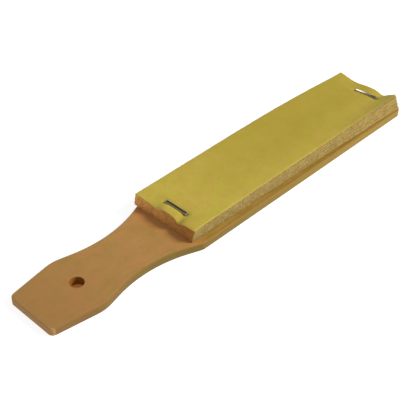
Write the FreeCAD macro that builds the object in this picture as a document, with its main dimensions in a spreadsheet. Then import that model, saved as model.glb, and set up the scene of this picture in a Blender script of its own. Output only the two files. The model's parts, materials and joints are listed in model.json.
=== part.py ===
import FreeCAD, Part
import math
import os
import Sketcher

# A wooden sanding paddle: a flat board with a waisted handle and a hang hole, and a pad of
# abrasive sheets held on its blade by two flat-wire staples.
# Frame: millimetres, origin under the middle of the board, +X from the handle's tip towards
# the blade's end, +Z up out of the pad, the board's underside on z = 0.

DIMENSIONS = (
    ("board_length", 178.0, "handle tip to blade end"),
    ("board_thickness", 3.2, "flat stock"),
    ("blade_half_width", 15.55, "half the width of the blade"),
    ("tip_flat_half_width", 8.55, "half the straight part of the handle's end"),
    ("tip_corner_radius", 2.0, "corners of the handle's end"),
    ("flank_angle", 9.2, "the handle widens away from its tip at this angle"),
    ("shoulder_radius", 14.0, "round of the swelling around the hang hole"),
    ("taper_angle", 13.6, "the handle narrows towards its neck at this angle"),
    ("neck_radius", 50.0, "hollow of the neck"),
    ("neck_half_width", 10.25, "half the width at the neck"),
    ("neck_from_tip", 37.8, "narrowest place, from the tip"),
    ("flare_angle", 21.0, "the neck widens into the blade at this angle"),
    ("blade_corner_radius", 3.5, "where the flare meets the blade's side"),
    ("blade_end_radius", 3.0, "corners of the blade's end"),
    ("top_edge_round", 0.6, "sanded upper edges of the board"),
    ("bottom_edge_round", 0.3, "broken lower edges of the board"),
    ("hole_diameter", 4.8, "hang hole"),
    ("hole_from_tip", 18.8, "hang hole, from the tip"),
    ("sheet_length", 115.9, "the top abrasive sheet"),
    ("sheet_width", 28.2, "every abrasive sheet"),
    ("sheet_thickness", 0.39, "paper and grit"),
    ("sheet_count", 12, "sheets in the pad"),
    ("pad_end_slope", 1.2, "each end of the pad slopes out by this much from top to bottom"),
    ("pad_middle_from_tip", 117.3, "middle of the pad's length, from the tip"),
    ("pad_side_offset", 0.80, "the pad's middle sits off the board's centre line"),
    ("pad_skew_angle", 0.5, "and the top sheet is a little askew"),
    ("pad_fan_angle", 0.6, "the bottom sheet is turned this much further, about the first staple"),
    ("wire_width", 1.27, "flat staple wire"),
    ("wire_thickness", 0.5, "flat staple wire"),
    ("staple_width", 10.6, "outside the legs"),
    ("staple_height", 7.9, "crown top to leg points"),
    ("staple_bend_radius", 0.7, "outside of the crown's bends"),
    ("staple_point_length", 0.9, "slanted points of the legs"),
    ("handle_staple_from_tip", 63.5, "first staple"),
    ("handle_staple_side", 0.2, "first staple, off the centre line"),
    ("handle_staple_angle", 0.4, "first staple, turned on the pad"),
    ("far_staple_from_tip", 169.4, "second staple"),
    ("far_staple_side", -2.9, "second staple, off the centre line"),
    ("far_staple_angle", 5.0, "second staple, turned on the pad"),
)

doc = FreeCAD.newDocument("sanding_paddle")
dims = doc.addObject("Spreadsheet::Sheet", "Dims")
for row, (alias, value, meaning) in enumerate(DIMENSIONS, start=1):
    dims.set(f"A{row}", meaning)
    dims.set(f"B{row}", str(value))
    dims.setAlias(f"B{row}", alias)
doc.recompute()

# The points of a sketch element, and the sketch's own origin and axis, by their numbers.
START = 1
END = 2
CENTRE = 3
ORIGIN_POINT = (-1, 1)
X_AXIS = -1


def size(alias):
    """A driving dimension's number, for a sketch's first guess."""
    return float(dims.get(alias))


def new_body(name):
    return doc.addObject("PartDesign::Body", name)


def new_sketch(body, name, plane_role):
    """An empty sketch on one of the body's own origin planes."""
    sketch = body.newObject("Sketcher::SketchObject", name)
    plane = next(item for item in body.Origin.OriginFeatures if item.Role == plane_role)
    sketch.AttachmentSupport = [(plane, "")]
    sketch.MapMode = "FlatFace"
    return sketch


def drive(sketch, name, expression, kind, *places):
    """A named dimension of the sketch, driven by the spreadsheet."""
    index = sketch.addConstraint(Sketcher.Constraint(kind, *places))
    sketch.renameConstraint(index, name)
    sketch.setExpression(f"Constraints.{name}", expression)


def vec(x, y):
    return FreeCAD.Vector(x, y, 0)


def line(start, end):
    return Part.LineSegment(start, end)


def arc_between(centre, start, end):
    """The shorter arc about centre between two points, running anticlockwise."""
    first = math.atan2(start.y - centre.y, start.x - centre.x)
    last = math.atan2(end.y - centre.y, end.x - centre.x)
    if (last - first) % (2 * math.pi) > math.pi:
        first, last = last, first
    if last < first:
        last += 2 * math.pi
    circle = Part.Circle(centre, FreeCAD.Vector(0, 0, 1), (start - centre).Length)
    return Part.ArcOfCircle(circle, first, last)


def join_arc(sketch, before, arc, after):
    """Tie an arc smoothly to the end of one line and the start of the next."""
    arc_start = sketch.getPoint(arc, START)
    if (arc_start - sketch.getPoint(before, END)).Length < 1e-6:
        near, far = START, END
    else:
        near, far = END, START
    sketch.addConstraint(Sketcher.Constraint("Tangent", before, END, arc, near))
    sketch.addConstraint(Sketcher.Constraint("Tangent", arc, far, after, START))


def half_outline(body):
    """Half of the board's outline, on the side y > 0, closed along the centre line."""
    half = size("board_length") / 2
    wide = size("blade_half_width")
    flank = math.radians(size("flank_angle"))
    taper = math.radians(size("taper_angle"))
    flare = math.radians(size("flare_angle"))
    tip_r = size("tip_corner_radius")
    shoulder_r = size("shoulder_radius")
    neck_r = size("neck_radius")
    corner_r = size("blade_corner_radius")
    end_r = size("blade_end_radius")

    along_flank = vec(math.cos(flank), math.sin(flank))
    along_taper = vec(math.cos(taper), -math.sin(taper))
    along_flare = vec(math.cos(flare), math.sin(flare))

    tip_centre = vec(-half + tip_r, size("tip_flat_half_width"))
    tip_top = vec(-half, tip_centre.y)
    flank_start = tip_centre + vec(-math.sin(flank), math.cos(flank)) * tip_r

    neck_centre = vec(size("neck_from_tip") - half, size("neck_half_width") + neck_r)
    taper_end = neck_centre - vec(math.sin(taper), math.cos(taper)) * neck_r
    flare_start = neck_centre - vec(-math.sin(flare), math.cos(flare)) * neck_r

    # The flank and the taper meet in a corner, which the shoulder rounds off.
    across = taper_end - flank_start
    reach = (across.x * along_taper.y - across.y * along_taper.x) / math.sin(-flank - taper)
    corner = flank_start + along_flank * reach
    cut_back = shoulder_r * math.tan((flank + taper) / 2)
    flank_end = corner - along_flank * cut_back
    taper_start = corner + along_taper * cut_back
    shoulder_centre = flank_end + vec(math.sin(flank), -math.cos(flank)) * shoulder_r

    flare_end_y = wide - corner_r + corner_r * math.cos(flare)
    flare_end = flare_start + along_flare * ((flare_end_y - flare_start.y) / math.sin(flare))
    corner_centre = flare_end + vec(math.sin(flare), -math.cos(flare)) * corner_r
    side_start = vec(corner_centre.x, wide)
    side_end = vec(half - end_r, wide)
    end_centre = vec(half - end_r, wide - end_r)
    end_start = vec(half, wide - end_r)

    sketch = new_sketch(body, "half_outline", "XY_Plane")
    tip_end = sketch.addGeometry(line(vec(-half, 0), tip_top))
    flank_line = sketch.addGeometry(line(flank_start, flank_end))
    taper_line = sketch.addGeometry(line(taper_start, taper_end))
    flare_line = sketch.addGeometry(line(flare_start, flare_end))
    side_line = sketch.addGeometry(line(side_start, side_end))
    far_end = sketch.addGeometry(line(end_start, vec(half, 0)))
    middle = sketch.addGeometry(line(vec(half, 0), vec(-half, 0)))
    tip_arc = sketch.addGeometry(arc_between(tip_centre, tip_top, flank_start))
    shoulder_arc = sketch.addGeometry(arc_between(shoulder_centre, flank_end, taper_start))
    neck_arc = sketch.addGeometry(arc_between(neck_centre, taper_end, flare_start))
    corner_arc = sketch.addGeometry(arc_between(corner_centre, flare_end, side_start))
    end_arc = sketch.addGeometry(arc_between(end_centre, side_end, end_start))

    join_arc(sketch, tip_end, tip_arc, flank_line)
    join_arc(sketch, flank_line, shoulder_arc, taper_line)
    join_arc(sketch, taper_line, neck_arc, flare_line)
    join_arc(sketch, flare_line, corner_arc, side_line)
    join_arc(sketch, side_line, end_arc, far_end)
    sketch.addConstraint(Sketcher.Constraint("Coincident", far_end, END, middle, START))
    sketch.addConstraint(Sketcher.Constraint("Coincident", middle, END, tip_end, START))
    sketch.addConstraint(Sketcher.Constraint("PointOnObject", middle, START, X_AXIS))
    sketch.addConstraint(Sketcher.Constraint("PointOnObject", middle, END, X_AXIS))
    sketch.addConstraint(Sketcher.Constraint("Vertical", tip_end))
    sketch.addConstraint(Sketcher.Constraint("Vertical", far_end))
    sketch.addConstraint(Sketcher.Constraint("Horizontal", side_line))

    drive(sketch, "half_length", "Dims.board_length / 2", "DistanceX", *ORIGIN_POINT, far_end, END, half)
    drive(sketch, "tip_place", "-Dims.board_length / 2", "DistanceX", *ORIGIN_POINT, tip_end, START, -half)
    drive(sketch, "tip_flat", "Dims.tip_flat_half_width", "DistanceY", *ORIGIN_POINT, tip_end, END, tip_top.y)
    drive(sketch, "half_width", "Dims.blade_half_width", "DistanceY", *ORIGIN_POINT, side_line, START, wide)
    drive(sketch, "tip_round", "Dims.tip_corner_radius", "Radius", tip_arc, tip_r)
    drive(sketch, "shoulder_round", "Dims.shoulder_radius", "Radius", shoulder_arc, shoulder_r)
    drive(sketch, "neck_hollow", "Dims.neck_radius", "Radius", neck_arc, neck_r)
    drive(sketch, "blade_corner", "Dims.blade_corner_radius", "Radius", corner_arc, corner_r)
    drive(sketch, "blade_end", "Dims.blade_end_radius", "Radius", end_arc, end_r)
    drive(sketch, "flank_slope", "Dims.flank_angle", "Angle", flank_line, flank)
    drive(sketch, "taper_slope", "-Dims.taper_angle", "Angle", taper_line, -taper)
    drive(sketch, "flare_slope", "Dims.flare_angle", "Angle", flare_line, flare)
    drive(sketch, "neck_place", "Dims.neck_from_tip - Dims.board_length / 2", "DistanceX",
          *ORIGIN_POINT, neck_arc, CENTRE, neck_centre.x)
    drive(sketch, "neck_centre", "Dims.neck_half_width + Dims.neck_radius", "DistanceY",
          *ORIGIN_POINT, neck_arc, CENTRE, neck_centre.y)
    return sketch


def rounded_off(body, base, name, level, radius):
    """The base with every edge that lies flat at the given height rounded to a spreadsheet radius."""
    edges = []
    for number, edge in enumerate(base.Shape.Edges, start=1):
        box = edge.BoundBox
        if abs(box.ZMin - level) < 1e-6 and abs(box.ZMax - level) < 1e-6:
            edges.append(f"Edge{number}")
    fillet = body.newObject("PartDesign::Fillet", name)
    fillet.Base = (base, edges)
    fillet.setExpression("Radius", radius)
    doc.recompute()
    return fillet


def make_board():
    """The wooden board, with rounded edges and a hang hole."""
    body = new_body("board")
    outline = half_outline(body)
    slab = body.newObject("PartDesign::Pad", "half_board")
    slab.Profile = outline
    slab.setExpression("Length", "Dims.board_thickness")
    doc.recompute()

    whole = body.newObject("PartDesign::Mirrored", "whole_board")
    whole.Originals = [slab]
    centre_plane = next(item for item in body.Origin.OriginFeatures if item.Role == "XZ_Plane")
    whole.MirrorPlane = (centre_plane, [""])
    body.Tip = whole
    doc.recompute()

    sanded = rounded_off(body, whole, "top_edges", size("board_thickness"), "Dims.top_edge_round")
    rounded = rounded_off(body, sanded, "bottom_edges", 0.0, "Dims.bottom_edge_round")

    circle = new_sketch(body, "hang_hole_circle", "XY_Plane")
    hole_x = size("hole_from_tip") - size("board_length") / 2
    hole_r = size("hole_diameter") / 2
    ring = circle.addGeometry(Part.Circle(vec(hole_x, 0), FreeCAD.Vector(0, 0, 1), hole_r))
    circle.addConstraint(Sketcher.Constraint("PointOnObject", ring, CENTRE, X_AXIS))
    drive(circle, "hole_place", "Dims.hole_from_tip - Dims.board_length / 2", "DistanceX",
          *ORIGIN_POINT, ring, CENTRE, hole_x)
    drive(circle, "hole_size", "Dims.hole_diameter", "Diameter", ring, 2 * hole_r)
    hole = body.newObject("PartDesign::Pocket", "hang_hole")
    hole.Profile = circle
    hole.Type = "ThroughAll"
    hole.Reversed = True
    doc.recompute()
    removed = rounded.Shape.Volume - hole.Shape.Volume
    expected = math.pi * hole_r ** 2 * size("board_thickness")
    if abs(removed - expected) > 0.01 * expected:
        raise RuntimeError("the hang hole doesn't go through the board")
    return body


def make_staple(name):
    """A staple of flat wire: one folded strip, with its crown on top of the pad."""
    body = new_body(name)
    half = size("staple_width") / 2
    wire = size("wire_thickness")
    bend = size("staple_bend_radius")
    inner_bend = bend - wire
    tall = size("staple_height")
    point = size("staple_point_length")

    # The strip's edge-on profile, crown top on z = 0, drawn for one leg and closed on the axis.
    sketch = new_sketch(body, f"{name}_profile", "YZ_Plane")
    crown_top = sketch.addGeometry(line(vec(0, 0), vec(half - bend, 0)))
    leg_outside = sketch.addGeometry(line(vec(half, -bend), vec(half, -tall)))
    leg_point = sketch.addGeometry(line(vec(half, -tall), vec(half - wire, point - tall)))
    leg_inside = sketch.addGeometry(line(vec(half - wire, point - tall), vec(half - wire, -bend)))
    crown_under = sketch.addGeometry(line(vec(half - bend, -wire), vec(0, -wire)))
    axis_line = sketch.addGeometry(line(vec(0, -wire), vec(0, 0)))
    bend_centre = vec(half - bend, -bend)
    outer_bend = sketch.addGeometry(arc_between(bend_centre, vec(half - bend, 0), vec(half, -bend)))
    under_bend = sketch.addGeometry(
        arc_between(bend_centre, vec(half - wire, -bend), vec(half - bend, -wire)))

    join_arc(sketch, crown_top, outer_bend, leg_outside)
    join_arc(sketch, leg_inside, under_bend, crown_under)
    for before, after in ((leg_outside, leg_point), (leg_point, leg_inside),
                          (crown_under, axis_line), (axis_line, crown_top)):
        sketch.addConstraint(Sketcher.Constraint("Coincident", before, END, after, START))
    sketch.addConstraint(Sketcher.Constraint("Coincident", crown_top, START, *ORIGIN_POINT))
    sketch.addConstraint(Sketcher.Constraint("Horizontal", crown_top))
    sketch.addConstraint(Sketcher.Constraint("Horizontal", crown_under))
    sketch.addConstraint(Sketcher.Constraint("Vertical", leg_outside))
    sketch.addConstraint(Sketcher.Constraint("Vertical", leg_inside))
    sketch.addConstraint(Sketcher.Constraint("Vertical", axis_line))

    drive(sketch, "half_crown", "Dims.staple_width / 2", "DistanceX",
          *ORIGIN_POINT, leg_outside, START, half)
    drive(sketch, "leg_drop", "-Dims.staple_height", "DistanceY",
          *ORIGIN_POINT, leg_outside, END, -tall)
    drive(sketch, "strip", "Dims.wire_thickness", "DistanceY", axis_line, START, axis_line, END, wire)
    drive(sketch, "leg_strip", "Dims.wire_thickness", "DistanceX",
          leg_point, END, leg_point, START, wire)
    drive(sketch, "point_rise", "Dims.staple_point_length", "DistanceY",
          leg_point, START, leg_point, END, point)
    drive(sketch, "bend_outside", "Dims.staple_bend_radius", "Radius", outer_bend, bend)
    drive(sketch, "bend_inside", "Dims.staple_bend_radius - Dims.wire_thickness", "Radius",
          under_bend, inner_bend)

    strip = body.newObject("PartDesign::Pad", f"{name}_half")
    strip.Profile = sketch
    strip.setExpression("Length", "Dims.wire_width")
    strip.Midplane = True
    doc.recompute()
    folded = body.newObject("PartDesign::Mirrored", f"{name}_whole")
    folded.Originals = [strip]
    middle_plane = next(item for item in body.Origin.OriginFeatures if item.Role == "XZ_Plane")
    folded.MirrorPlane = (middle_plane, [""])
    body.Tip = folded
    pad_top = "Dims.board_thickness + Dims.sheet_count * Dims.sheet_thickness"
    body.setExpression("Placement.Base.x", f"Dims.{name}_from_tip - Dims.board_length / 2")
    body.setExpression("Placement.Base.y", f"Dims.{name}_side")
    body.setExpression("Placement.Base.z", f"{pad_top} + Dims.wire_thickness")
    body.Placement.Rotation = FreeCAD.Rotation(FreeCAD.Vector(0, 0, 1), size(f"{name}_angle"))
    body.setExpression("Placement.Rotation.Angle", f"Dims.{name}_angle")
    doc.recompute()
    return body


def pierced(name, whole, staples):
    """The piece as the driven staples leave it: with a slot around each leg."""
    cut = doc.addObject("Part::Cut", name)
    cut.Base = whole
    cut.Tool = staples
    cut.Label = name
    return cut


def make_sheet(number, staples):
    """One abrasive sheet, counted from the wood up, with the slots that the legs make."""
    name = f"sheet_{number:02d}"
    below_top = f"((Dims.sheet_count - {number}) / (Dims.sheet_count - 1))"
    fan = f"Dims.pad_fan_angle * {below_top}"
    angle = f"(Dims.pad_skew_angle + {fan})"
    length = f"(Dims.sheet_length + 2 * Dims.pad_end_slope * {below_top})"
    blank = doc.addObject("Part::Box", f"{name}_blank")
    blank.setExpression("Length", length)
    blank.setExpression("Width", "Dims.sheet_width")
    blank.setExpression("Height", "Dims.sheet_thickness")

    # A box is placed by its corner, which is worked out from the sheet's own middle.
    middle_x = "(Dims.pad_middle_from_tip - Dims.board_length / 2)"
    to_staple = "(Dims.pad_middle_from_tip - Dims.handle_staple_from_tip)"
    middle_y = f"(Dims.pad_side_offset - {to_staple} * sin({fan} * 1 deg))"
    blank.Placement.Rotation = FreeCAD.Rotation(FreeCAD.Vector(0, 0, -1), size("pad_skew_angle"))
    blank.setExpression("Placement.Rotation.Angle", angle)
    blank.setExpression("Placement.Base.x", f"{middle_x} - {length} / 2 * cos({angle} * 1 deg)"
                                            f" - Dims.sheet_width / 2 * sin({angle} * 1 deg)")
    blank.setExpression("Placement.Base.y", f"{middle_y} + {length} / 2 * sin({angle} * 1 deg)"
                                            f" - Dims.sheet_width / 2 * cos({angle} * 1 deg)")
    blank.setExpression("Placement.Base.z",
                        f"Dims.board_thickness + ({number} - 1) * Dims.sheet_thickness")
    return pierced(name, blank, staples)


def check_and_write(parts):
    """Stop on any failed object, and write each piece to its own file."""
    doc.recompute()
    for item in doc.Objects:
        if "Invalid" in item.State or "Error" in item.State:
            raise RuntimeError(f"{item.Name} failed: {item.State}")
    for part in parts:
        shape = part.Shape
        if shape.isNull() or not shape.isValid() or len(shape.Solids) != 1:
            raise RuntimeError(f"{part.Label} is not one valid solid")
    os.makedirs("parts", exist_ok=True)
    for part in parts:
        part.Shape.exportStep(f"parts/{part.Label}.step")
        box = part.Shape.optimalBoundingBox(False, False)
        print(f"{part.Label}: volume {part.Shape.Volume:.1f} mm3, "
              f"x {box.XMin:.2f} to {box.XMax:.2f}, y {box.YMin:.2f} to {box.YMax:.2f}, "
              f"z {box.ZMin:.2f} to {box.ZMax:.2f}")


board = make_board()
handle_staple = make_staple("handle_staple")
far_staple = make_staple("far_staple")
both_staples = doc.addObject("Part::MultiFuse", "both_staples")
both_staples.Shapes = [handle_staple, far_staple]
doc.recompute()

pieces = [pierced("paddle", board, both_staples)]
for number in range(1, int(size("sheet_count")) + 1):
    pieces.append(make_sheet(number, both_staples))
pieces.extend((handle_staple, far_staple))
check_and_write(pieces)
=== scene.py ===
import json
import math

import bpy
import numpy as np
from mathutils import Matrix, Vector


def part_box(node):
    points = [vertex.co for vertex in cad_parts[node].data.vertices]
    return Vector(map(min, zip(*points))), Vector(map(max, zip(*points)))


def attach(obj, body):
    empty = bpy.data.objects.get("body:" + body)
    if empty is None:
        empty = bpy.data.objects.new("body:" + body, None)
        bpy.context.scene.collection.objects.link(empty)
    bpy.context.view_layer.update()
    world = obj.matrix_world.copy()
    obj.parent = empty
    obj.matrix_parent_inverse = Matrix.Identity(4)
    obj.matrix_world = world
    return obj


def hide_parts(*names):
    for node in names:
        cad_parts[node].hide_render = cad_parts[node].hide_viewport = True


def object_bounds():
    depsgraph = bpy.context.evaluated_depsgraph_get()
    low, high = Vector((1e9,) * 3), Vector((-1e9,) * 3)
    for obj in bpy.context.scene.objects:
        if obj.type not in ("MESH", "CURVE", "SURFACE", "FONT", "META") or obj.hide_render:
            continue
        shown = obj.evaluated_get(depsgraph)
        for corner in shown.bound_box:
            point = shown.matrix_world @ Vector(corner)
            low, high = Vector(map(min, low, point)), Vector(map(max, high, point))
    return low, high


# The looks of a wooden sanding paddle: bare wood, a pad of twelve yellow abrasive sheets that
# has bowed and curled between its two staples, and the staples of flat wire.
# Lengths are in metres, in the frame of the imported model: +X from the handle's tip to the
# blade's end, +Y to the left of it and +Z up out of the pad.

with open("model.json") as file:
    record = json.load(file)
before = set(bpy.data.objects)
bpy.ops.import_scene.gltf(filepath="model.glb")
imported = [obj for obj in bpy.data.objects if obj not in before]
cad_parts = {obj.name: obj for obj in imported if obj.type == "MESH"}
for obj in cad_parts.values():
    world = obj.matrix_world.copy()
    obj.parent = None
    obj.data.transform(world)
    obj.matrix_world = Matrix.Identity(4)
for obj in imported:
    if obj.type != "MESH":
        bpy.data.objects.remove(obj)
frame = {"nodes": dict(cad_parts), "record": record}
cad_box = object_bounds()
rng = np.random.default_rng(12)

MM = 0.001

# The pad.
SHEETS = 12
TOP_ANGLE = math.radians(-0.5)     # how the top sheet is turned on the board
FAN_ANGLE = math.radians(-0.6)     # the bottom sheet is turned this much further
LOOSE_ANGLE = math.radians(0.03)   # each sheet strays from its angle by about this much
LOOSE_SHIFT = 0.07 * MM            # and from its place by about this much
PAPER = 0.36 * MM                  # thickness of one sheet
SWOLLEN = 0.52 * MM                # and where the pad has opened a little
WIDE_OPENING = 0.08                # a sheet that takes more of the pad's rise doesn't swell
GAP = 0.02 * MM                    # least air between two sheets
GRIT_SHARE = 0.30                  # the grit coat's share of a sheet's thickness
EDGE_BREAK = 0.05 * MM             # rounding of a sheet's upper edges
EDGE_SHARE = 0.14                  # which takes up this share of its thickness
EDGE_DROOP = 0.13 * MM             # the top sheet's border bends down by this much
DROOP_REACH = 0.9 * MM             # over this distance from its cut
SET_BACK = 0.11 * MM               # each end of a sheet stands this far back from the one below
RAGGED = 0.035 * MM                # roughness of the cut
FRAYED = 0.2 * MM                  # this near to the cut, a sheet's face is frayed; on the top sheet it is rubbed and paled as a painted highlight
GRIT, BACK, EDGE, RUBBED_HIGHLIT = range(4)  # a sheet's material slots

# The staples.
WIRE_WIDTH = 1.27 * MM
WIRE_ROUND = 0.18 * MM             # rounded long edges of the flat wire
BEND_RADIUS = 0.45 * MM            # of the wire's middle line
SINK = 0.28 * MM                   # how far the crowns are pulled into the paper


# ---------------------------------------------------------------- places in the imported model

def node_points(name):
    mesh = frame["nodes"][name].data
    points = np.empty(len(mesh.vertices) * 3)
    mesh.vertices.foreach_get("co", points)
    return points.reshape(-1, 3)


def leg_places(name):
    """Where a staple's two legs go down: the one on the -Y side, then the one on the +Y side."""
    points = node_points(name)
    low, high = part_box(name)
    tips = points[points[:, 2] < low.z + (high.z - low.z) / 2]
    middle = (low.y + high.y) / 2
    return tips[tips[:, 1] < middle].mean(0)[:2], tips[tips[:, 1] > middle].mean(0)[:2]


HOLE = next(mount for mount in frame["record"]["mounts"] if mount["name"] == "hang_hole")
BOARD_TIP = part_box("paddle")[0].x
BOARD_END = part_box("paddle")[1].x
BOARD_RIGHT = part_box("paddle")[0].y
BOARD_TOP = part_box("paddle")[1].z
PAD_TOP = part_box(f"sheet_{SHEETS:02d}")[1].z
PITCH = (PAD_TOP - BOARD_TOP) / SHEETS
NEAR_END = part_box(f"sheet_{SHEETS:02d}")[0].x
FAR_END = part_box(f"sheet_{SHEETS:02d}")[1].x
RIGHT_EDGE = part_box(f"sheet_{SHEETS:02d}")[0].y
NEAR_LEGS = leg_places("handle_staple")
FAR_LEGS = leg_places("far_staple")
NEAR_X = (NEAR_LEGS[0][0] + NEAR_LEGS[1][0]) / 2
FAR_X = (FAR_LEGS[0][0] + FAR_LEGS[1][0]) / 2


# ---------------------------------------------------------------- shader nodes

def new_material(name):
    """A node material with an empty tree, its Principled shader and its output."""
    material = bpy.data.materials.new(name)
    material.use_nodes = True
    tree = material.node_tree
    tree.nodes.clear()
    output = tree.nodes.new("ShaderNodeOutputMaterial")
    shader = tree.nodes.new("ShaderNodeBsdfPrincipled")
    tree.links.new(shader.outputs[0], output.inputs[0])
    return material, tree, shader


def feed(tree, socket, value):
    """Link a socket to another node's socket, or set it to a plain value."""
    if isinstance(value, bpy.types.NodeSocket):
        tree.links.new(value, socket)
    else:
        socket.default_value = value


def node(tree, kind, settings=None, **inputs):
    """A node with its properties set, and its inputs set or linked by name."""
    made = tree.nodes.new("ShaderNode" + kind)
    for key, value in (settings or {}).items():
        setattr(made, key, value)
    for key, value in inputs.items():
        feed(tree, made.inputs[key.replace("_", " ")], value)
    return made


def position(tree, stretch=(1.0, 1.0, 1.0), turn=(0.0, 0.0, 0.0)):
    """The point on the object in millimetres, stretched along its axes."""
    place = node(tree, "TexCoord").outputs["Object"]
    scale = tuple(share / MM for share in stretch)
    return node(tree, "Mapping", Vector=place, Rotation=turn, Scale=scale).outputs[0]


def noise(tree, where, size, detail=3.0, roughness=0.5, distortion=0.0):
    """Noise from 0 to 1 whose lumps are about size millimetres wide."""
    made = node(tree, "TexNoise", Vector=where, Scale=1.0 / size, Detail=detail,
                Roughness=roughness, Distortion=distortion)
    return made.outputs["Fac"]


def ramp(tree, factor, stops):
    """A colour or grey ramp over factor, its stops given as (place, value)."""
    made = node(tree, "ValToRGB", Fac=factor)
    band = made.color_ramp
    while len(band.elements) < len(stops):
        band.elements.new(0.5)
    for element, (place, value) in zip(band.elements, stops):
        element.position = place
        grey = isinstance(value, (int, float))
        element.color = (value, value, value, 1.0) if grey else (*value, 1.0)
    return made.outputs[0]


def mix(tree, factor, first, second):
    """The first colour at factor 0 and the second at 1, each a socket or (red, green, blue)."""
    made = node(tree, "Mix", {"data_type": "RGBA"})
    for index, value in ((0, factor), (6, first), (7, second)):
        feed(tree, made.inputs[index], (*value, 1.0) if isinstance(value, tuple) else value)
    return made.outputs[2]


def maths(tree, operation, first, second=0.0, third=0.0):
    made = node(tree, "Math", {"operation": operation})
    for socket, value in zip(made.inputs, (first, second, third)):
        feed(tree, socket, value)
    return made.outputs[0]


def times(tree, first, second):
    return maths(tree, "MULTIPLY", first, second)


def bump(tree, height, depth, under=None):
    """A normal from a height from 0 to 1, depth metres deep."""
    made = node(tree, "Bump", Height=height, Strength=1.0, Distance=depth)
    if under is not None:
        tree.links.new(under, made.inputs["Normal"])
    return made.outputs[0]


def facing(tree, axis):
    """From 0 where the surface runs along an axis to 1 where it faces along it, either way."""
    normal = node(tree, "TexCoord").outputs["Normal"]
    part = node(tree, "SeparateXYZ", Vector=normal).outputs[axis]
    return maths(tree, "ABSOLUTE", part)


def along(tree, axis, start, end):
    """From 0 to 1 between two places on one of the object's axes."""
    place = node(tree, "TexCoord").outputs["Object"]
    value = node(tree, "SeparateXYZ", Vector=place).outputs[axis]
    return node(tree, "MapRange", Value=value, From_Min=start, From_Max=end).outputs[0]


def near_axis(tree, centre, radius, fade):
    """1 within radius of an upright axis, falling to 0 over the fade."""
    place = node(tree, "TexCoord").outputs["Object"]
    flat = node(tree, "VectorMath", {"operation": "MULTIPLY"})
    tree.links.new(place, flat.inputs[0])
    flat.inputs[1].default_value = (1.0, 1.0, 0.0)
    away = node(tree, "VectorMath", {"operation": "DISTANCE"})
    tree.links.new(flat.outputs[0], away.inputs[0])
    away.inputs[1].default_value = (centre[0], centre[1], 0.0)
    limits = {"From_Min": radius, "From_Max": radius + fade, "To_Min": 1.0, "To_Max": 0.0}
    return node(tree, "MapRange", Value=away.outputs["Value"], **limits).outputs[0]


# ---------------------------------------------------------------- wood

def wood_face(tree, mottle, fibres, pores):
    """The board's faces: blotches of brown and pink, faint fibres and dark pores."""
    blush = noise(tree, position(tree, (0.8, 1.0, 1.0), (0.0, 0.0, 0.6)), 5.5, 4.0, 0.62)
    body = ramp(tree, mottle, ((0.32, (0.315, 0.186, 0.048)), (0.5, (0.355, 0.200, 0.059)),
                               (0.68, (0.385, 0.208, 0.068))))
    pink = ramp(tree, blush, ((0.46, 0.0), (0.62, 0.75)))
    warm = mix(tree, pink, body, (0.410, 0.190, 0.066))
    grain = ramp(tree, fibres, ((0.35, 0.09), (0.6, 0.0)))
    grained = mix(tree, grain, warm, (0.225, 0.110, 0.030))
    flecks = ramp(tree, pores, ((0.24, 0.28), (0.34, 0.0)))
    return mix(tree, flecks, grained, (0.15, 0.070, 0.022))


def wood_sides(tree, face, mottle, upright):
    """The face's colour, with painted shade on its sides, darkest at the tip, and on its rounded long
    edges.
    """
    sideways = ramp(tree, facing(tree, "Y"), ((0.15, 0.0), (0.40, 1.0)))
    towards_blade = along(tree, "X", BOARD_TIP + 14 * MM, BOARD_END - 29 * MM)
    # Painted shade: the sides take a darker colour than the face, darker still towards the tip.
    side = mix(tree, towards_blade, (0.118, 0.082, 0.024), (0.285, 0.192, 0.038))
    speckle = ramp(tree, mottle, ((0.35, 0.3), (0.6, 0.0)))
    speckled = mix(tree, speckle, side, (0.215, 0.130, 0.026))
    upended = times(tree, sideways, ramp(tree, upright, ((0.15, 0.95), (0.9, 0.0))))
    sided = mix(tree, upended, face, speckled)
    # Painted shade: the rounded long edges are coloured darker, to damp the highlight the lamp puts on
    # them.
    tilted = ramp(tree, upright, ((0.30, 0.0), (0.60, 0.85), (0.85, 0.60), (0.99, 0.0)))
    edge_shading = mix(tree, towards_blade, (0.170, 0.105, 0.028), (0.215, 0.134, 0.024))
    return mix(tree, times(tree, sideways, tilted), sided, edge_shading)


def wood_ends(tree, colour):
    """The colour, with the ends painted lighter where the tip and the blade are cut across: painted light,
    not end grain.
    """
    end_facing = facing(tree, "X")
    tip = along(tree, "X", BOARD_TIP + 9 * MM, BOARD_TIP + 4 * MM)
    blade_end = along(tree, "X", BOARD_END - 5 * MM, BOARD_END - 2 * MM)
    endways = ramp(tree, end_facing, ((0.20, 0.0), (0.42, 0.95)))
    # Painted light: the ends take a much lighter colour than the face, lightest on their rounded edges, to
    # make up for the little light that reaches the tip's end.
    grain = ramp(tree, end_facing, ((0.40, (0.80, 0.48, 0.19)), (0.95, (0.50, 0.29, 0.107))))
    return mix(tree, times(tree, maths(tree, "MAXIMUM", tip, blade_end), endways), colour, grain)


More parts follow.
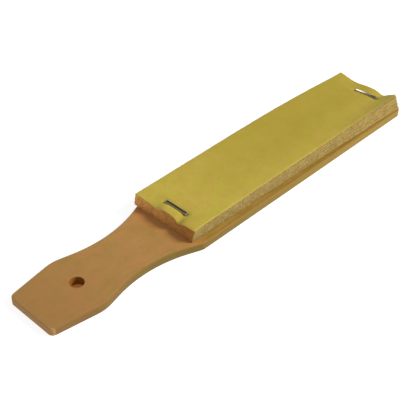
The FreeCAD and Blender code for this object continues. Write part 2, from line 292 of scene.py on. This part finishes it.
def wood_wear_and_painted_light(tree, colour, mottle, upright):
    """The colour, darker at the handled tip, with painted light before and beside the pad: a red tint for
    the light bounced into its shadow, and a darker, yellower painted shade beside it.
    """
    handled = times(tree, along(tree, "X", BOARD_TIP + 44 * MM, BOARD_TIP), 0.65)
    worn_and_painted = mix(tree, handled, colour, (0.270, 0.140, 0.046))
    # Painted light: a red tint on the wood just before the pad, standing for the reddish light bounced into
    # the pad's shadow there.
    bounce_tint = times(tree, along(tree, "X", NEAR_END - 8 * MM, NEAR_END - 2 * MM), 0.30)
    bounce_tinted = mix(tree, times(tree, bounce_tint, upright), worn_and_painted, (0.560, 0.205, 0.060))

    # Painted shade: beside the pad the board is coloured darker and yellower, standing for the pad's shadow
    # and the yellow light it bounces, and darker again at its outer edge, to damp the lamp's light there.
    blotches = ramp(tree, mottle, ((0.38, 0.0), (0.62, 1.0)))
    strip_shade_colour = mix(tree, blotches, (0.285, 0.176, 0.029), (0.358, 0.217, 0.043))
    border = along(tree, "Y", BOARD_RIGHT + 1.55 * MM, BOARD_RIGHT + 0.45 * MM)
    strip_shade = mix(tree, times(tree, border, 0.8), strip_shade_colour, (0.225, 0.138, 0.024))
    on_blade = times(tree, along(tree, "X", NEAR_END - 1 * MM, NEAR_END + 5 * MM), 0.95)
    return mix(tree, times(tree, on_blade, upright), bounce_tinted, strip_shade)


def wood_material():
    """Bare sanded hardwood: soft mottling, faint grain along X, painted shade on its sides and in its hang
    hole, painted light on its ends.
    """
    material, tree, shader = new_material("bare_wood")
    fibres = noise(tree, position(tree, (0.055, 1.0, 0.5)), 0.5, 4.0, 0.6, 0.15)
    mottle = noise(tree, position(tree, (0.7, 1.0, 1.0)), 4.0, 4.0, 0.62)
    pores = noise(tree, position(tree, (0.2, 1.0, 1.0)), 0.24, 2.0, 0.5)
    upright = facing(tree, "Z")

    sided = wood_sides(tree, wood_face(tree, mottle, fibres, pores), mottle, upright)
    worn_and_painted = wood_wear_and_painted_light(tree, wood_ends(tree, sided), mottle, upright)
    # Painted shade: the wall of the hang hole is coloured dark brown.
    hole_shade = near_axis(tree, HOLE["pos_m"], HOLE["dims"]["r_mm"] * MM + 0.05 * MM, 0.35 * MM)
    colour = mix(tree, hole_shade, worn_and_painted, (0.27, 0.105, 0.015))
    tree.links.new(colour, shader.inputs["Base Color"])

    rough = ramp(tree, fibres, ((0.3, 0.72), (0.7, 0.60)))
    tree.links.new(rough, shader.inputs["Roughness"])
    shader.inputs["Specular IOR Level"].default_value = 0.1
    grain = bump(tree, fibres, 0.04 * MM)
    pitted = bump(tree, ramp(tree, pores, ((0.22, 0.0), (0.36, 1.0))), 0.04 * MM, grain)
    tree.links.new(pitted, shader.inputs["Normal"])
    return material


# ---------------------------------------------------------------- paper, grit and steel

def finish_paper(tree, shader, colour, roughness, specular, relief):
    """Set a dull surface's colour, roughness, gloss and relief."""
    tree.links.new(colour, shader.inputs["Base Color"])
    shader.inputs["Roughness"].default_value = roughness
    shader.inputs["Specular IOR Level"].default_value = specular
    tree.links.new(relief, shader.inputs["Normal"])


def grit_material(name, edge_shading):
    """The coated side: yellow size coat over fine mineral grains, painted darker away from the near
    staple and the right edge as painted shade. Its border is paled by the share given: rubbed, and a
    painted highlight."""
    material, tree, shader = new_material(name)
    where = position(tree)
    grains = noise(tree, where, 0.16, 2.0, 0.6)
    cloud = noise(tree, where, 7.0, 4.0, 0.65)
    tint = noise(tree, position(tree, (1.0, 1.0, 1.0), (0.0, 0.0, 0.9)), 3.6, 4.0, 0.62)
    fleck = noise(tree, where, 0.42, 2.0, 0.5)
    body = ramp(tree, cloud, ((0.3, (0.434, 0.331, 0.046)), (0.5, (0.468, 0.354, 0.055)),
                              (0.7, (0.500, 0.376, 0.068))))
    limed = mix(tree, ramp(tree, tint, ((0.32, 0.7), (0.5, 0.0))), body, (0.452, 0.400, 0.044))
    ochre = mix(tree, ramp(tree, tint, ((0.52, 0.0), (0.7, 0.7))), limed, (0.486, 0.322, 0.062))
    dark = mix(tree, ramp(tree, grains, ((0.33, 0.40), (0.52, 0.0))), ochre, (0.21, 0.150, 0.018))
    light = mix(tree, ramp(tree, fleck, ((0.62, 0.0), (0.78, 0.4))), dark, (0.60, 0.47, 0.12))
    # Painted shade: the grit is coloured darker away from the near staple and the right edge.
    inwards = maths(tree, "MULTIPLY_ADD", along(tree, "Y", RIGHT_EDGE, 0.0), 0.40, 0.18)
    shade_share = times(tree, along(tree, "X", NEAR_X, NEAR_X + 60 * MM), inwards)
    shaded_grit = mix(tree, shade_share, light, (0.300, 0.225, 0.016))
    # Painted highlight, on a rubbed border: the grit is paled by this share.
    colour = mix(tree, edge_shading, shaded_grit, (0.66, 0.54, 0.20))
    finish_paper(tree, shader, colour, 0.75, 0.3, bump(tree, grains, 0.05 * MM))
    return material


def back_material():
    """Buff paper: the sheets' uncoated backs."""
    material, tree, shader = new_material("paper_back")
    fibre = noise(tree, position(tree), 0.35, 3.0, 0.65)
    streaks = ramp(tree, fibre, ((0.35, 0.0), (0.65, 1.0)))
    colour = mix(tree, streaks, (0.36, 0.24, 0.10), (0.46, 0.32, 0.15))
    finish_paper(tree, shader, colour, 0.88, 0.25, bump(tree, fibre, 0.06 * MM))
    return material


def cut_sides(tree, speckle, clump, patch):
    """The cut edges along the pad's sides: speckled paper, paler and rougher to the far end."""
    paler = along(tree, "X", NEAR_END + 9.8 * MM, FAR_END - 16.4 * MM)
    plain = mix(tree, paler, (0.300, 0.218, 0.066), (0.490, 0.350, 0.100))
    rougher = maths(tree, "MULTIPLY_ADD", along(tree, "X", NEAR_END, NEAR_END + 70 * MM), 0.6, 0.4)
    spots = times(tree, ramp(tree, speckle, ((0.40, 0.90), (0.56, 0.0))), rougher)
    spotted = mix(tree, spots, plain, (0.115, 0.070, 0.016))
    clumps = ramp(tree, clump, ((0.50, 0.0), (0.66, 0.60)))
    clumped = mix(tree, clumps, spotted, (0.500, 0.385, 0.165))
    stains = ramp(tree, patch, ((0.42, 0.35), (0.62, 0.0)))
    return mix(tree, stains, clumped, (0.205, 0.128, 0.038))


def cut_near_end(tree, clump, patch):
    """The near end, painted orange brown: torn paper with the reddish light bounced from the wood painted
    in. It is darker to the right, and painted shade darkens its lowest sheets.
    """
    tears = ramp(tree, patch, ((0.35, 0.0), (0.65, 1.0)))
    # Painted light: the torn ends are coloured redder and brighter, standing for the reddish light the wood
    # bounces onto them.
    torn_and_bounce = mix(tree, tears, (0.72, 0.330, 0.076), (0.95, 0.480, 0.150))
    darker_right = mix(tree, along(tree, "Y", 4 * MM, -9 * MM), torn_and_bounce, (0.52, 0.205, 0.040))
    # Painted shade: the lowest sheets are darkened where the end meets the shadow on the wood.
    lowest = times(tree, along(tree, "Z", BOARD_TOP + 1.6 * MM, BOARD_TOP), 0.35)
    shaded = mix(tree, lowest, darker_right, (0.30, 0.110, 0.026))
    clumps = ramp(tree, clump, ((0.34, 0.5), (0.50, 0.0)))
    return mix(tree, clumps, shaded, (0.38, 0.150, 0.036))


def edge_material():
    """The sheets' cut edges: speckled along the pad's sides, brown and torn at its near end, where the
    brown is partly painted bounce light.
    """
    material, tree, shader = new_material("paper_cut_edge")
    where = position(tree)
    speckle = noise(tree, where, 0.30, 3.0, 0.7)
    clump = noise(tree, where, 0.75, 3.0, 0.65)
    patch = noise(tree, where, 2.6, 3.0, 0.6)
    # The near end's faces, turned from the lamp, take the painted colour of cut_near_end.
    near_end = along(tree, "X", NEAR_END + 1.0 * MM, NEAR_END + 0.5 * MM)
    endways = ramp(tree, facing(tree, "X"), ((0.30, 0.0), (0.50, 1.0)))
    colour = mix(tree, times(tree, near_end, endways), cut_sides(tree, speckle, clump, patch),
                 cut_near_end(tree, clump, patch))
    finish_paper(tree, shader, colour, 0.9, 0.15, bump(tree, speckle, 0.12 * MM))
    return material


def steel_material():
    """Galvanised flat wire, drawn and a little scuffed."""
    material, tree, shader = new_material("staple_wire")
    scuff = noise(tree, position(tree), 0.5, 3.0, 0.6)
    drawn = noise(tree, position(tree, (1.0, 0.06, 1.0)), 0.09, 2.0, 0.6)
    tint = ramp(tree, scuff, ((0.35, (0.36, 0.33, 0.28)), (0.65, (0.50, 0.46, 0.40))))
    tree.links.new(tint, shader.inputs["Base Color"])
    shader.inputs["Metallic"].default_value = 1.0
    tree.links.new(ramp(tree, scuff, ((0.3, 0.10), (0.7, 0.18))), shader.inputs["Roughness"])
    tree.links.new(bump(tree, drawn, 0.002 * MM), shader.inputs["Normal"])
    return material


# ---------------------------------------------------------------- meshes

def mesh_piece(name, points, faces, materials, sharp_angle, slots=None):
    """An object made of lists of points and faces, smooth up to the sharp angle."""
    mesh = bpy.data.meshes.new(name)
    mesh.from_pydata(points, [], faces)
    for material in materials:
        mesh.materials.append(material)
    if slots is not None:
        mesh.polygons.foreach_set("material_index", slots)
    mesh.polygons.foreach_set("use_smooth", np.ones(len(mesh.polygons), bool))
    mesh.update()
    mesh.set_sharp_from_angle(angle=sharp_angle)
    piece = bpy.data.objects.new(name, mesh)
    bpy.context.scene.collection.objects.link(piece)
    return piece


def ring_indices(rows, columns):
    """Grid indices around a grid's border, in order."""
    grid = np.arange(rows * columns).reshape(rows, columns)
    return np.concatenate((grid[0, :-1], grid[:-1, -1], grid[-1, :0:-1], grid[:0:-1, 0]))


def grid_faces(rows, columns, first, upward):
    """Quads of a grid whose points start at first, wound to face up or down."""
    grid = np.arange(rows * columns).reshape(rows, columns) + first
    quads = np.stack((grid[:-1, :-1], grid[1:, :-1], grid[1:, 1:], grid[:-1, 1:]), -1).reshape(-1, 4)
    return quads if upward else quads[:, ::-1]


def rim_faces(lower, upper):
    """Quads between two rings of the same border."""
    return np.stack((np.roll(lower, -1), lower, upper, np.roll(upper, -1)), -1)[:, ::-1]


def tube_faces(rings, corners):
    """Quads between rings of this many corners, and a cap at each end."""
    faces = []
    for start in range(0, (rings - 1) * corners, corners):
        for corner in range(corners):
            following = (corner + 1) % corners
            end = start + corners
            faces.append((start + corner, start + following, end + following, end + corner))
    caps = [tuple(range(corners))[::-1], tuple(range((rings - 1) * corners, rings * corners))]
    return faces + caps


# ---------------------------------------------------------------- the pad's shape

def turned(x, y, angle):
    """The points (x, y) turned about the origin."""
    cos, sin = math.cos(angle), math.sin(angle)
    return x * cos - y * sin, x * sin + y * cos


def sheet_angle(number):
    """How a sheet is turned on the board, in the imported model."""
    return TOP_ANGLE + FAN_ANGLE * (SHEETS - number) / (SHEETS - 1)


def flat_sheet(number):
    """(middle x, middle y, length, width) of a packed sheet."""
    points = node_points(f"sheet_{number:02d}")
    angle = sheet_angle(number)
    p, q = turned(points[:, 0], points[:, 1], -angle)
    middle = turned((p.min() + p.max()) / 2, (q.min() + q.max()) / 2, angle)
    return *middle, np.ptp(p), np.ptp(q)


def hump(value, middle, below, above):
    """A bell of height 1, with its own width on each side of its middle."""
    width = np.where(value < middle, below, above)
    return np.exp(-0.5 * ((value - middle) / width) ** 2)


def humps(value, bells):
    """Several bells together, each given as (height, middle, width below, width above)."""
    return sum(height * hump(value, *place) for height, *place in bells)


def ramped(value, start, end):
    """From 0 at start to 1 at end, level outside."""
    return np.clip((value - start) / (end - start), 0.0, 1.0)


def bow(x, y):
    """How far the pad's top has risen between the staples, and swollen on its left side."""
    share = ramped(x, NEAR_X - 6 * MM, FAR_X)
    arch = (1.06 - 0.05 * y / (14 * MM)) * np.sin(math.pi * share ** 1.3)
    swelling = 0.20 + 0.45 * hump(x, FAR_X - 30.4 * MM, 30 * MM, 24 * MM)
    return MM * (arch + swelling * ramped(y, 4 * MM, 15 * MM))


def curl(x, y):
    """How far the free corner beyond the far staple's outer leg has curled up."""
    outside = ramped(y, FAR_LEGS[0][1] + 0.3 * MM, RIGHT_EDGE)
    farther = ramped(x, FAR_X - 46 * MM, FAR_END + 2 * MM)
    return 3.0 * MM * outside ** 1.6 * farther ** 1.4


def nudge(x, y):
    """How far the pad's near left corner has been pushed out over the handle."""
    return 1.0 * MM * ramped(y, 2 * MM, 15 * MM) ** 1.5 * ramped(x, NEAR_END + 14 * MM, NEAR_END)


def from_crown(x, y, legs):
    """Distance from the line between a staple's legs."""
    (x0, y0), (x1, y1) = legs
    dx, dy = x1 - x0, y1 - y0
    share = np.clip(((x - x0) * dx + (y - y0) * dy) / (dx * dx + dy * dy), 0.0, 1.0)
    return np.hypot(x - x0 - share * dx, y - y0 - share * dy)


# Where the pad's two ends are dragged down across its width, as (depth in millimetres, place,
# width to its right, width to its left).
NEAR_DIPS = (
    (1.15, NEAR_LEGS[1][1] + 1.0 * MM, 1.5 * MM, 3.0 * MM),
    (0.75, NEAR_LEGS[0][1] - 1.0 * MM, 2.6 * MM, 1.6 * MM),
    (0.95, NEAR_LEGS[0][1] + 0.2 * MM, 0.9 * MM, 0.8 * MM),
    (0.25, RIGHT_EDGE, 3.0 * MM, 3.0 * MM),
)
FAR_DIPS = (
    (1.00, FAR_LEGS[1][1] + 4.6 * MM, 3.6 * MM, 3.6 * MM),
    (1.00, FAR_LEGS[0][1] + 0.6 * MM, 1.6 * MM, 1.6 * MM),
    (0.22, -4.0 * MM, 4.0 * MM, 5.0 * MM),
)


def pinch(x, y):
    """How far the staples drag the top sheet down: the pad's ends, and a dent round each wire."""
    near = ramped(x, NEAR_X + 1.2 * MM, NEAR_END) ** 1.2 * (humps(y, NEAR_DIPS) + 0.06)
    far = ramped(x, FAR_X - 1.8 * MM, FAR_END) ** 1.1 * humps(y, FAR_DIPS)
    dent = 0.0
    for leg in (*NEAR_LEGS, *FAR_LEGS):
        dent = dent + 0.14 * np.exp(-0.5 * ((x - leg[0]) ** 2 + (y - leg[1]) ** 2) / (0.8 * MM) ** 2)
    for legs in (NEAR_LEGS, FAR_LEGS):
        dent = dent + 0.27 * np.exp(-0.5 * (from_crown(x, y, legs) / (0.75 * MM)) ** 2)
    return MM * (near + far + dent)


def wander(x, y, seed):
    """Small slow waves from about -1 to 1, different for each seed."""
    phase = np.random.default_rng(seed).uniform(0, 2 * math.pi, 6)
    waves = np.sin(x / (9 * MM) + phase[0]) + np.sin(x / (4.3 * MM) + y / (11 * MM) + phase[1])
    waves = waves + np.sin(y / (5.2 * MM) + phase[2]) + 0.6 * np.sin(x / (2.1 * MM) + phase[3])
    return waves / 3.6


def running_share(weights):
    """From 0 to 1 in steps in proportion to the weights."""
    return np.concatenate(([0.0], np.cumsum(weights) / np.sum(weights)))


# How the pad's rise is shared among its sheets: it has opened most under the first sheet, a
# little under the fourth and under the top one. The curl is shared out more evenly.
OPENED = running_share(np.array((13.0, 1.0, 1.0, 3.5, 1.0, 1.0, 1.0, 1.5, 1.0, 1.0, 1.0, 4.5)))
FANNED = running_share(np.array((0.6, 0.7, 0.8, 1.8, 1.0, 1.1, 1.2, 1.5, 1.3, 1.4, 1.5, 2.6)))


def level_height(x, y, level):
    """Height of the surface that is level sheets above the board."""
    squeezed = (SHEETS * PITCH - pinch(x, y)) * level / SHEETS
    return BOARD_TOP + squeezed + bow(x, y) * OPENED[level] + curl(x, y) * FANNED[level]


# ---------------------------------------------------------------- the sheets

def spaced(size, spacing):
    """Grid lines from -size / 2 to size / 2, closer together near both."""
    margin = np.array((0.0, 0.12, 0.26, 0.42, 0.62, 0.9)) * MM
    last = size / 2 - 1.2 * MM
    strip_shade_colour = np.linspace(-last, last, int(2 * last / spacing) + 2)
    return np.concatenate((margin - size / 2, strip_shade_colour, (size / 2 - margin)[::-1]))


def border_droop(from_cut, level):
    """How far the border of the surface that is level sheets above the board bends down."""
    return EDGE_DROOP * np.clip(1.0 - from_cut / DROOP_REACH, 0.0, 1.0) ** 2 * level / SHEETS


def sheet_thickness(number, room):
    """A sheet's thickness in the room it has, thicker where the pad has opened a little."""
    swelling = ramped(room, PITCH, 1.6 * PITCH)
    if OPENED[number] - OPENED[number - 1] > WIDE_OPENING:
        swelling = 0.0
    return np.minimum(room - GAP, PAPER + (SWOLLEN - PAPER) * swelling)


def sheet_faces(rows, columns, from_cut, top_sheet):
    """A sheet's quads and their slots. Its points are the grid of its underside, the grid of its
    upper side, the ring where its grit starts and the ring under its rounded upper edge."""
    count = rows * columns
    low_ring = ring_indices(rows, columns)
    top_ring = low_ring + count
    grit_ring = np.arange(len(low_ring)) + 2 * count
    shoulder_ring = grit_ring + len(low_ring)
    upper = grid_faces(rows, columns, count, True)
    at_cut = from_cut.ravel()[upper - count].min(1) < FRAYED
    # The top sheet's border takes the rubbed grit, paled as a painted highlight.
    border = RUBBED_HIGHLIT if top_sheet else EDGE
    groups = (
        (grid_faces(rows, columns, 0, False), BACK),
        (upper[~at_cut], GRIT),
        (upper[at_cut], border),
        (rim_faces(low_ring, grit_ring), EDGE),
        (rim_faces(grit_ring, shoulder_ring), EDGE),
        (rim_faces(shoulder_ring, top_ring), border),
    )
    faces = np.concatenate([quads for quads, _ in groups])
    slots = np.concatenate([np.full(len(quads), slot) for quads, slot in groups])
    return faces, slots


def make_sheet(number, materials):
    """One abrasive sheet as a closed thin solid: grit above, paper below, a cut edge round it."""
    name = f"sheet_{number:02d}"
    middle_x, middle_y, length, width = flat_sheet(number)
    top_sheet = number == SHEETS
    fine = number >= SHEETS - 1
    angle = sheet_angle(number) + rng.normal(0, LOOSE_ANGLE)
    shift = rng.normal(0, LOOSE_SHIFT, 2) * (0.2 if top_sheet else 1.0)
    lengthwise = spaced(length, 0.45 * MM if fine else 0.6 * MM)
    crosswise = spaced(width, 0.45 * MM if fine else 1.0 * MM)
    flat_p, flat_q = np.meshgrid(lengthwise, crosswise, indexing="ij")
    rows, columns = flat_p.shape
    ragged = np.random.default_rng(400 + number).normal(0, RAGGED, (2, rows, columns))
    end_cut = np.abs(flat_p) > length / 2 - 0.05 * MM
    side_cut = np.abs(flat_q) > width / 2 - 0.05 * MM
    from_cut = np.minimum(length / 2 - np.abs(flat_p), width / 2 - np.abs(flat_q))
    droop = border_droop(from_cut, number)
    droop_below = border_droop(from_cut + SET_BACK, number - 1)

    def surface(inset, share):
        """Points at a share of the sheet's thickness, the border drawn in by inset."""
        p = flat_p * (1 - 2 * inset / length)
        q = flat_q * (1 - 2 * inset / width)
        slow = 0.05 * MM * wander(p * 2.3, q * 2.3, 400 + number)
        p = p + (slow + ragged[0]) * np.sign(p) * end_cut
        q = q + (slow + ragged[1]) * np.sign(q) * side_cut
        x, y = turned(p, q, angle)
        x, y = x + middle_x + shift[0], y + middle_y + shift[1]
        # The upper sheets lean most towards the handle where they are curled or nudged.
        x = x - 0.35 * curl(x, y) * FANNED[number] - nudge(x, y) * (0.35 + 0.65 * number / SHEETS)
        high = level_height(x, y, number)
        room = high - level_height(x, y, number - 1)
        thickness = sheet_thickness(number, room)
        play = (room - thickness) * (0.12 + 0.10 * wander(x, y, 100 + number))
        z = high - play - thickness * (1 - share) - share * droop - (1 - share) * droop_below
        return np.stack((x, y, z), -1).reshape(-1, 3)

    ring = ring_indices(rows, columns)
    points = np.concatenate((surface(0.0, 0.0), surface(EDGE_BREAK, 1.0),
                             surface(0.0, 1 - GRIT_SHARE)[ring], surface(0.0, 1 - EDGE_SHARE)[ring]))
    faces, slots = sheet_faces(rows, columns, from_cut, top_sheet)
    piece = mesh_piece(name + "_paper", points.tolist(), faces.tolist(), materials, math.radians(35), slots)
    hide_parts(name)
    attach(piece, "root")


# ---------------------------------------------------------------- the staples

def wire_section(thickness):
    """The flat wire's rounded section, as (across the width, out through the thickness)."""
    across, out = WIRE_WIDTH / 2 - WIRE_ROUND, thickness / 2 - WIRE_ROUND
    points = []
    for corner, (side, face) in enumerate(((1, 1), (-1, 1), (-1, -1), (1, -1))):
        for step in np.linspace(0.0, math.pi / 2, 6):
            turn = corner * math.pi / 2 + step
            points.append((side * across + WIRE_ROUND * math.cos(turn),
                           face * out + WIRE_ROUND * math.sin(turn)))
        # Two more points keep the broad faces flat between the rounded edges.
        if side == face:
            flat = face * thickness / 2
            points.extend([(side * across * 0.85, flat), (-side * across * 0.85, flat)])
    return np.array(points)


def wire_path(half_span, top, bounce_tint):
    """The wire's middle line as (along the crown, height, bend angle), from foot to foot."""
    bend = np.linspace(0.0, math.pi / 2, 9)
    up = [(half_span, height, 0.0) for height in np.linspace(bounce_tint, top - BEND_RADIUS, 8)[:-1]]
    round_up = [(half_span - BEND_RADIUS * (1 - math.cos(a)), top - BEND_RADIUS * (1 - math.sin(a)), a)
                for a in bend]
    crown = [(place, top, math.pi / 2)
             for place in np.linspace(half_span - BEND_RADIUS, 0.0, 14)[1:]]
    half = up + round_up + crown
    mirrored = [(-place, height, math.pi - a) for place, height, a in half[-2::-1]]
    return np.array(half + mirrored)


def make_staple(name, lean, twist, material):
    """A staple of rounded flat wire, its crown leaning and twisting by a few degrees."""
    right, left = leg_places(name)
    low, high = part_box(name)
    thickness = high.z - PAD_TOP
    middle = (left + right) / 2
    span = left - right
    half_span = math.hypot(*span) / 2
    lengthwise = Vector((*(span / (2 * half_span)), 0.0))
    crosswise = Vector((lengthwise.y, -lengthwise.x, 0.0))
    upward = Vector((0.0, 0.0, 1.0))
    section = wire_section(thickness)
    path = wire_path(half_span, high.z - SINK - thickness / 2, low.z + SINK)
    points = []
    for place, height, bend in path:
        outward = math.cos(bend) * lengthwise + math.sin(bend) * upward
        share = place / half_span
        turn = (lean + twist * share) * (1 - abs(share) ** 8) * math.sin(bend)
        wide = math.cos(turn) * crosswise - math.sin(turn) * outward
        thick = math.sin(turn) * crosswise + math.cos(turn) * outward
        core = Vector((middle[0], middle[1], height)) + lengthwise * place
        points.extend([tuple(core + wide * a + thick * b) for a, b in section])
    faces = tube_faces(len(path), len(section))
    piece = mesh_piece(name + "_wire", points, faces, [material], math.radians(50))
    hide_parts(name)
    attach(piece, "root")


# ---------------------------------------------------------------- floor, light and camera

def make_floor():
    """A pale light table, so that shadows on it are faint. Under the hang hole it is painted dim and brown:
    painted shade, with a faint brown glow.
    """
    reach = 4.0
    mesh = bpy.data.meshes.new("floor")
    mesh.from_pydata([(-reach, -reach, 0), (reach, -reach, 0), (reach, reach, 0), (-reach, reach, 0)],
                     [], [(0, 1, 2, 3)])
    floor = bpy.data.objects.new("floor", mesh)
    floor.location.z = cad_box[0].z - 0.02 * MM
    bpy.context.scene.collection.objects.link(floor)
    material, tree, shader = new_material("light_table")
    shader.inputs["Roughness"].default_value = 0.9
    shader.inputs["Specular IOR Level"].default_value = 0.0
    shader.inputs["Emission Strength"].default_value = 0.82
    # Painted shade under the hang hole: a dark brown colour and a dim brown glow.
    under_hole = near_axis(tree, HOLE["pos_m"], 4 * MM, 2 * MM)
    glow = mix(tree, under_hole, (1.0, 1.0, 1.0), (0.20, 0.080, 0.018))
    tree.links.new(glow, shader.inputs["Emission Color"])
    paint = mix(tree, under_hole, (0.32, 0.32, 0.325), (0.20, 0.105, 0.045))
    tree.links.new(paint, shader.inputs["Base Color"])
    mesh.materials.append(material)


def sky_direction(azimuth, elevation):
    azimuth, elevation = math.radians(azimuth), math.radians(elevation)
    return Vector((math.cos(elevation) * math.cos(azimuth), math.cos(elevation) * math.sin(azimuth),
                   math.sin(elevation)))


def sky_patch(tree, direction, centre, strip_shade_colour, outer):
    """1 within inner degrees of a place in the sky, 0 beyond outer degrees."""
    aligned = node(tree, "VectorMath", {"operation": "DOT_PRODUCT"})
    tree.links.new(direction, aligned.inputs[0])
    aligned.inputs[1].default_value = centre
    limits = {"From_Min": math.cos(math.radians(outer)), "From_Max": math.cos(math.radians(strip_shade_colour))}
    return node(tree, "MapRange", Value=aligned.outputs["Value"], **limits).outputs[0]


def make_key():
    """The soft main lamp, which leaves no glints."""
    lamp = bpy.data.lights.new("key", "SUN")
    lamp.energy = 3.5
    lamp.angle = math.radians(19)
    lamp.color = (1.0, 0.985, 0.955)
    key = bpy.data.objects.new("key", lamp)
    key.rotation_mode = "QUATERNION"
    key.rotation_quaternion = Vector((0.60, -0.55, 0.58)).to_track_quat("Z", "Y")
    key.visible_glossy = False
    bpy.context.scene.collection.objects.link(key)


def make_studio():
    """A pale room all round, with a dark flag and a softbox that the staples mirror."""
    world = bpy.data.worlds.new("studio")
    world.use_nodes = True
    tree = world.node_tree
    tree.nodes.clear()
    direction = node(tree, "TexCoord").outputs["Generated"]
    flag = sky_patch(tree, direction, sky_direction(45, 40), 17, 20)
    softbox = sky_patch(tree, direction, sky_direction(27, 21), 6, 9)
    walls = mix(tree, flag, (0.52, 0.52, 0.52), (0.12, 0.095, 0.040))
    lit = mix(tree, softbox, walls, (1.0, 1.0, 1.0))
    strength = maths(tree, "MULTIPLY_ADD", softbox, 2.4, 1.0)
    background = node(tree, "Background", Color=lit, Strength=strength)
    output = node(tree, "OutputWorld")
    tree.links.new(background.outputs[0], output.inputs[0])
    bpy.context.scene.world = world
    bpy.context.scene.view_settings.view_transform = "Standard"


def make_camera():
    """The camera that sees the paddle from above its handle, its right side showing."""
    azimuth, elevation, roll = (math.radians(value) for value in (42.791, 39.371, 1.614))
    distance = 0.32488
    middle = Vector((-0.01006, 0.00282, 0.0))
    forward = Vector((math.cos(elevation) * math.cos(azimuth),
                      math.cos(elevation) * math.sin(azimuth), -math.sin(elevation)))
    level_right = Vector((math.sin(azimuth), -math.cos(azimuth), 0.0))
    level_up = level_right.cross(forward)
    right = math.cos(roll) * level_right + math.sin(roll) * level_up
    up = math.cos(roll) * level_up - math.sin(roll) * level_right
    lens = bpy.data.cameras.new("camera")
    lens.sensor_width = 36.0
    lens.lens = 80.82
    lens.clip_start = 0.01
    camera = bpy.data.objects.new("camera", lens)
    camera.matrix_world = Matrix((right, up, -forward)).transposed().to_4x4()
    camera.location = middle - forward * distance
    bpy.context.scene.collection.objects.link(camera)
    bpy.context.scene.camera = camera


# ---------------------------------------------------------------- the scene

paddle = frame["nodes"]["paddle"]
wood = wood_material()
for slot in paddle.material_slots:
    slot.material = wood

steel = steel_material()
make_staple("handle_staple", math.radians(1.0), math.radians(1.5), steel)
make_staple("far_staple", math.radians(1.0), math.radians(4.5), steel)

# In the order of GRIT, BACK, EDGE and the slot of the top sheet's rubbed border, paled as a painted
# highlight.
sheet_materials = (grit_material("yellow_grit", 0.0), back_material(), edge_material(),
                   grit_material("rubbed_highlit_grit", 0.12))
for number in range(1, SHEETS + 1):
    make_sheet(number, sheet_materials)

make_floor()
make_key()
make_studio()
make_camera()
